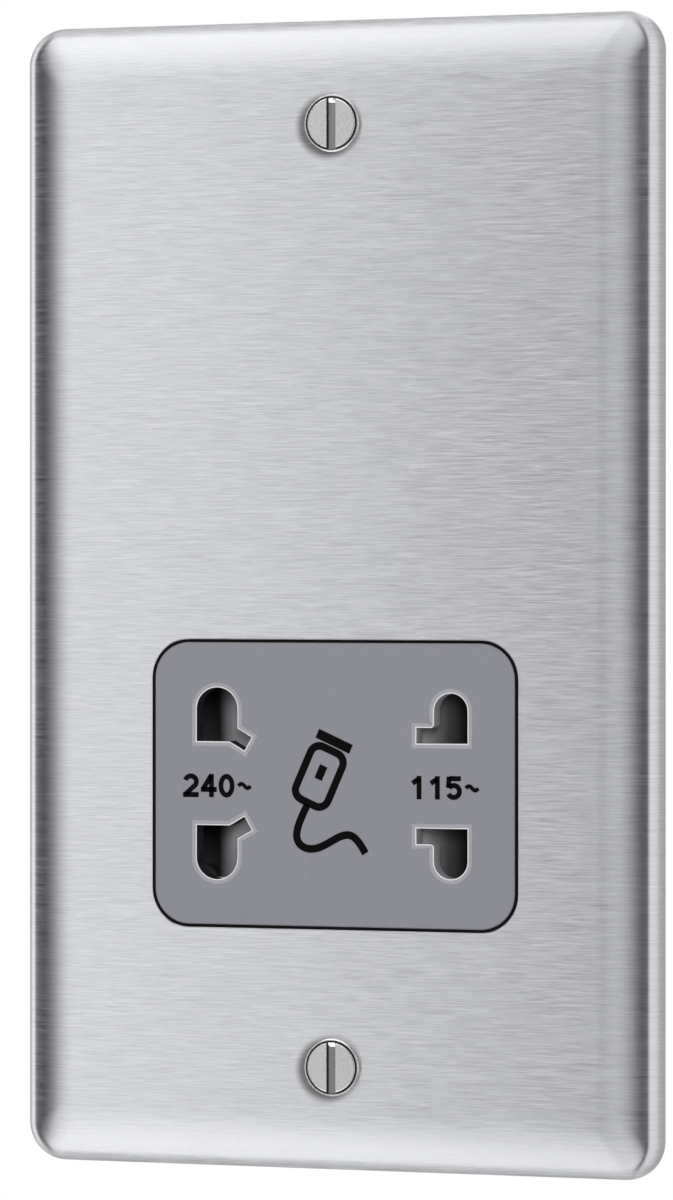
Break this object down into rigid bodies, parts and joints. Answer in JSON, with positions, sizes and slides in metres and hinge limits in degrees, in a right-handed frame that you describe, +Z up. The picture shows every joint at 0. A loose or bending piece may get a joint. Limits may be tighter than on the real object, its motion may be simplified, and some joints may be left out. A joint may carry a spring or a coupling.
{
  "type": "shaver socket",
  "caption": "Dual-voltage shaver supply socket: brushed steel plate with a grey insert of pin apertures, sliding shutter, and a transformer box behind.",
  "frame": {"origin": "on the wall plane, midway between the two fixing screws", "axes": "+X to the right seen from the room, +Y into the wall, +Z up"},
  "size_m": [0.086, 0.0448, 0.1474],
  "materials": {
    "plate_steel": "satin, brushed level",
    "screw_steel": "bright nickel plate",
    "insert_plastic": "satin grey moulding",
    "seal_rubber": "black",
    "moulding": "fine-grained dark grey",
    "block_plastic": "pale grey",
    "shutter_plastic": "smooth dark grey",
    "hardware_steel": "zinc plate",
    "spring_steel": "drawn wire",
    "contact_brass": "stamped strip",
    "terminal_brass": "machined",
    "cutout_metal": "lacquered can",
    "core_steel": "varnished laminations",
    "winding_copper": "enamelled copper wire",
    "bobbin_plastic": "natural nylon",
    "lead_brown": "insulated lead",
    "lead_blue": "insulated lead"
  },
  "bodies": {
    "unit": {"front_plate": "plate_steel", "fixing_screws": "screw_steel", "socket_insert": "insert_plastic", "insert_seal": "seal_rubber", "carrier_frame": "moulding", "stud_nuts": "hardware_steel", "left_spring": "spring_steel", "right_spring": "spring_steel", "contact_base": "moulding", "common_contact": "contact_brass", "left_contact": "contact_brass", "right_contact": "contact_brass", "live_leaf": "contact_brass", "load_leaf": "contact_brass", "thermal_cutout": "cutout_metal", "core_e": "core_steel", "core_i": "core_steel", "core_strap": "hardware_steel", "bobbin": "bobbin_plastic", "bobbin_pins": "contact_brass", "primary_winding": "winding_copper", "secondary_winding": "winding_copper", "live_lead": "lead_brown", "neutral_lead": "lead_blue", "rear_cover": "moulding", "cover_screws": "hardware_steel", "terminal_block": "block_plastic", "block_screws": "hardware_steel", "live_terminal": "terminal_brass", "earth_terminal": "terminal_brass", "neutral_terminal": "terminal_brass", "terminal_screws": "hardware_steel", "live_link": "contact_brass", "neutral_link": "contact_brass", "earth_strap": "contact_brass"},
    "shutter": {"shutter_slide": "shutter_plastic", "bridge_contact": "contact_brass"}
  },
  "joints": [
    {"name": "shutter_travel", "type": "slide", "parent": "unit", "child": "shutter", "axis": [1, 0, 0], "range_m": [-0.008, 0.008], "stiffness_N_per_m": 120, "deforming": ["left_spring", "right_spring"]}
  ]
}
